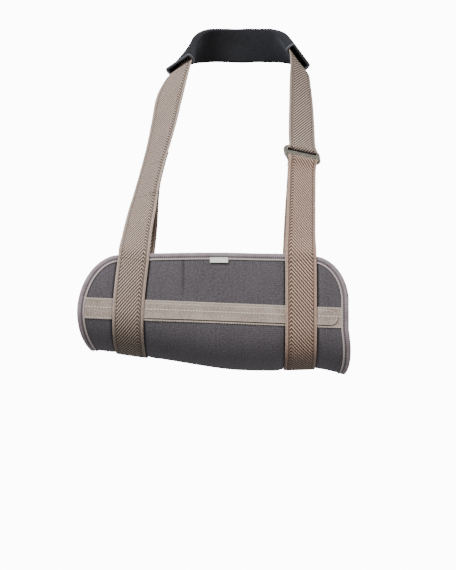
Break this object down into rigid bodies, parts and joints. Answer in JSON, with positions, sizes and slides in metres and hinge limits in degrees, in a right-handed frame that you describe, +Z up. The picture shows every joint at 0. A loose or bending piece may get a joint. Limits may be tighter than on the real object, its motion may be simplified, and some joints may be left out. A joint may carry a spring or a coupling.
{
  "type": "arm sling",
  "caption": "Trough arm sling: a soft bound panel folded round the forearm, hung on wide webbing over both shoulders, with a slider buckle and a padded sleeve behind the neck",
  "frame": {"origin": "Middle of the neck pad's inner face, where it lies on the nape of the neck", "axes": "+Z up, +Y from the wearer's front to the back, +X to the right of someone facing the wearer, along the forearm"},
  "size_m": [0.3318, 0.3042, 0.4698],
  "materials": {
    "foam_cloth": "matt charcoal knit on foam, fine ribs",
    "binding_cloth": "lavender grey binding tape, stitched",
    "tape_weave": "beige ribbed tape",
    "label_cloth": "bare white satin label",
    "webbing_weave": "beige herringbone webbing",
    "bronzed_metal": "matt grey bronze, lightly brushed",
    "pad_cloth": "near black brushed cloth on foam"
  },
  "bodies": {
    "root": {"sling_body": "foam_cloth", "edge_binding": "binding_cloth", "front_tape": "tape_weave", "tape_tab": "tape_weave", "edge_label": "label_cloth", "left_strap_loop": "webbing_weave", "neck_strap": "webbing_weave", "right_strap_loop": "webbing_weave", "slider_buckle": "bronzed_metal", "neck_pad": "pad_cloth"}
  },
  "joints": []
}
